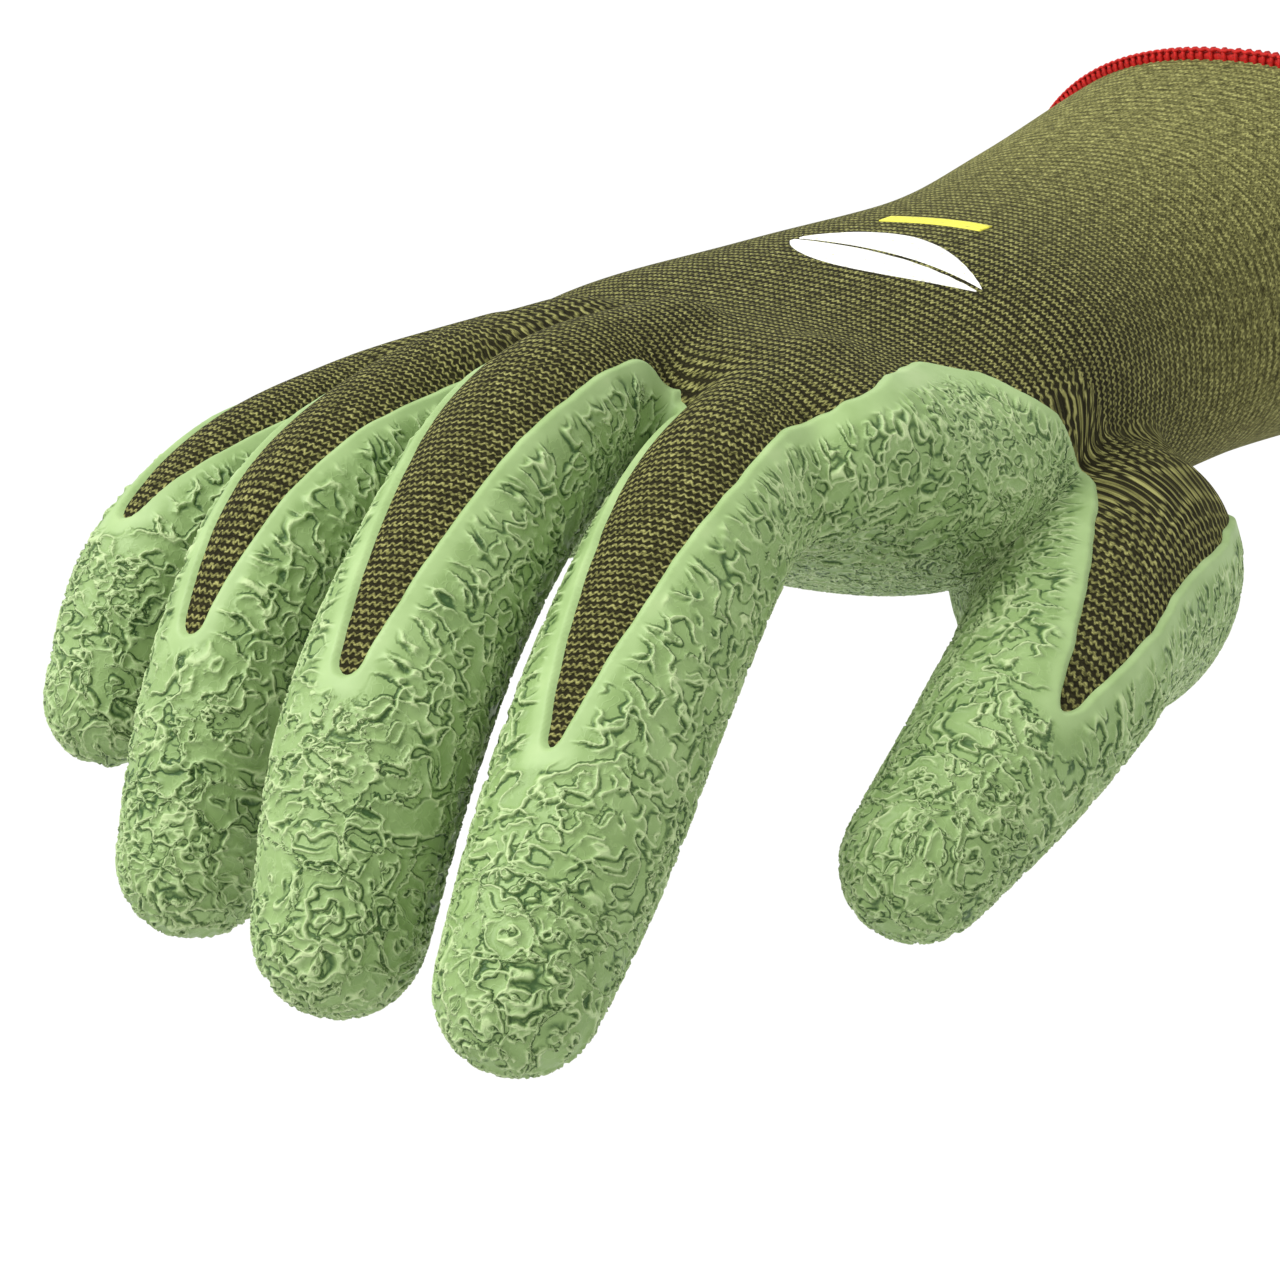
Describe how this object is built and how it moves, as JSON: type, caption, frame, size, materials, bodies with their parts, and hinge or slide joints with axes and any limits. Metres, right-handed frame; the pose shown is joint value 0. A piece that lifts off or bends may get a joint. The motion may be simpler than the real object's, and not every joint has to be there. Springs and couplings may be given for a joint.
{
  "type": "gardening glove",
  "caption": "Knitted right-hand gardening glove with a crinkled latex palm and fingertips, a flared cuff and an overlocked hem, in the relaxed curve of a hand.",
  "frame": {"origin": "in the plane of the cuff's edge, in its opening, on the line the hand lies along; the middle of the opening is 4 mm above it", "axes": "+Y out of the cuff towards the forearm, +Z out of the back of the hand, +X to the thumb's side"},
  "size_m": [0.1168, 0.211, 0.0839],
  "materials": {
    "knit_olive": "heathered olive marl, seamless jersey knit",
    "latex_green": "crinkled dipped latex, matt with a soft sheen",
    "thread_red": "overlocked thread",
    "elastic_rubber": "natural rubber thread",
    "print_white": "heat-transfer print film",
    "print_yellow": "heat-transfer print film"
  },
  "bodies": {
    "cuff": {"cuff_knit": "knit_olive", "cuff_hem": "thread_red", "cuff_elastic": "elastic_rubber", "wrist_crease": "knit_olive"},
    "hand": {"hand_liner": "knit_olive", "palm_latex": "latex_green", "back_emblem": "print_white", "size_mark": "print_yellow", "index_base_crease": "latex_green", "middle_base_crease": "latex_green", "ring_base_crease": "latex_green", "little_base_crease": "latex_green", "thumb_base_crease": "latex_green"},
    "index_base": {"index_base_knit": "knit_olive", "index_base_latex": "latex_green", "index_middle_crease": "latex_green"},
    "index_middle": {"index_middle_knit": "knit_olive", "index_middle_latex": "latex_green", "index_tip_crease": "latex_green"},
    "index_tip": {"index_tip_knit": "knit_olive", "index_tip_latex": "latex_green"},
    "middle_base": {"middle_base_knit": "knit_olive", "middle_base_latex": "latex_green", "middle_middle_crease": "latex_green"},
    "middle_middle": {"middle_middle_knit": "knit_olive", "middle_middle_latex": "latex_green", "middle_tip_crease": "latex_green"},
    "middle_tip": {"middle_tip_knit": "knit_olive", "middle_tip_latex": "latex_green"},
    "ring_base": {"ring_base_knit": "knit_olive", "ring_base_latex": "latex_green", "ring_middle_crease": "latex_green"},
    "ring_middle": {"ring_middle_knit": "knit_olive", "ring_middle_latex": "latex_green", "ring_tip_crease": "latex_green"},
    "ring_tip": {"ring_tip_knit": "knit_olive", "ring_tip_latex": "latex_green"},
    "little_base": {"little_base_knit": "knit_olive", "little_base_latex": "latex_green", "little_middle_crease": "latex_green"},
    "little_middle": {"little_middle_knit": "knit_olive", "little_middle_latex": "latex_green", "little_tip_crease": "latex_green"},
    "little_tip": {"little_tip_knit": "knit_olive", "little_tip_latex": "latex_green"},
    "thumb_base": {"thumb_base_knit": "knit_olive", "thumb_base_latex": "latex_green", "thumb_tip_crease": "latex_green"},
    "thumb_tip": {"thumb_tip_knit": "knit_olive", "thumb_tip_latex": "latex_green"}
  },
  "joints": [
    {"name": "wrist", "type": "hinge", "parent": "cuff", "child": "hand", "pos_m": [0.0005, -0.056, -0.0015], "axis": [1, 0, 0], "range_deg": [-35, 35], "stiffness_Nm_per_rad": 0.05, "deforming": ["wrist_crease"]},
    {"name": "index_root_bend", "type": "hinge", "parent": "hand", "child": "index_base", "pos_m": [0.0305, -0.1465, -0.002], "axis": [0.9636, 0.2672, 0], "range_deg": [-30, 40], "stiffness_Nm_per_rad": 0.05, "deforming": ["index_base_crease"]},
    {"name": "index_middle_bend", "type": "hinge", "parent": "index_base", "child": "index_middle", "pos_m": [0.03665, -0.16869, -0.01667], "axis": [0.9636, 0.2672, 0], "range_deg": [-20, 46], "stiffness_Nm_per_rad": 0.05, "deforming": ["index_middle_crease"]},
    {"name": "index_end_bend", "type": "hinge", "parent": "index_middle", "child": "index_tip", "pos_m": [0.0413, -0.18543, -0.03204], "axis": [0.9636, 0.2672, 0], "range_deg": [-14, 35], "stiffness_Nm_per_rad": 0.05, "deforming": ["index_tip_crease"]},
    {"name": "middle_root_bend", "type": "hinge", "parent": "hand", "child": "middle_base", "pos_m": [0.0065, -0.1495, 0.0054], "axis": [0.9659, 0.2588, 0], "range_deg": [-30, 40], "stiffness_Nm_per_rad": 0.05, "deforming": ["middle_base_crease"]},
    {"name": "middle_middle_bend", "type": "hinge", "parent": "middle_base", "child": "middle_middle", "pos_m": [0.01334, -0.17502, -0.00749], "axis": [0.9659, 0.2588, 0], "range_deg": [-20, 46], "stiffness_Nm_per_rad": 0.05, "deforming": ["middle_middle_crease"]},
    {"name": "middle_end_bend", "type": "hinge", "parent": "middle_middle", "child": "middle_tip", "pos_m": [0.01811, -0.19282, -0.02497], "axis": [0.9659, 0.2588, 0], "range_deg": [-14, 35], "stiffness_Nm_per_rad": 0.05, "deforming": ["middle_tip_crease"]},
    {"name": "ring_root_bend", "type": "hinge", "parent": "hand", "child": "ring_base", "pos_m": [-0.0164, -0.1472, 0.003], "axis": [0.9954, 0.0958, 0], "range_deg": [-30, 40], "stiffness_Nm_per_rad": 0.05, "deforming": ["ring_base_crease"]},
    {"name": "ring_middle_bend", "type": "hinge", "parent": "ring_base", "child": "ring_middle", "pos_m": [-0.01392, -0.17291, -0.00615], "axis": [0.9954, 0.0958, 0], "range_deg": [-20, 46], "stiffness_Nm_per_rad": 0.05, "deforming": ["ring_middle_crease"]},
    {"name": "ring_end_bend", "type": "hinge", "parent": "ring_middle", "child": "ring_tip", "pos_m": [-0.01251, -0.1876, -0.02405], "axis": [0.9954, 0.0958, 0], "range_deg": [-14, 35], "stiffness_Nm_per_rad": 0.05, "deforming": ["ring_tip_crease"]},
    {"name": "little_root_bend", "type": "hinge", "parent": "hand", "child": "little_base", "pos_m": [-0.0376, -0.1395, -0.001], "axis": [0.9981, -0.061, 0], "range_deg": [-30, 40], "stiffness_Nm_per_rad": 0.05, "deforming": ["little_base_crease"]},
    {"name": "little_middle_bend", "type": "hinge", "parent": "little_base", "child": "little_middle", "pos_m": [-0.03884, -0.15982, -0.00477], "axis": [0.9981, -0.061, 0], "range_deg": [-20, 46], "stiffness_Nm_per_rad": 0.05, "deforming": ["little_middle_crease"]},
    {"name": "little_end_bend", "type": "hinge", "parent": "little_middle", "child": "little_tip", "pos_m": [-0.03974, -0.17455, -0.01418], "axis": [0.9981, -0.061, 0], "range_deg": [-14, 35], "stiffness_Nm_per_rad": 0.05, "deforming": ["little_tip_crease"]},
    {"name": "thumb_root_bend", "type": "hinge", "parent": "hand", "child": "thumb_base", "pos_m": [0.0488, -0.1035, -0.0257], "axis": [0.4964, 0.3842, -0.7785], "range_deg": [-15, 5], "stiffness_Nm_per_rad": 0.05, "deforming": ["thumb_base_crease"]},
    {"name": "thumb_end_bend", "type": "hinge", "parent": "thumb_base", "child": "thumb_tip", "pos_m": [0.05682, -0.12942, -0.03338], "axis": [0.4964, 0.3842, -0.7785], "range_deg": [-15, 15], "stiffness_Nm_per_rad": 0.05, "deforming": ["thumb_tip_crease"]}
  ],
  "couplings": [
    {"joint": "index_end_bend", "follows": "index_middle_bend", "ratio": 0.7},
    {"joint": "middle_end_bend", "follows": "middle_middle_bend", "ratio": 0.7},
    {"joint": "ring_end_bend", "follows": "ring_middle_bend", "ratio": 0.7},
    {"joint": "little_end_bend", "follows": "little_middle_bend", "ratio": 0.7}
  ]
}
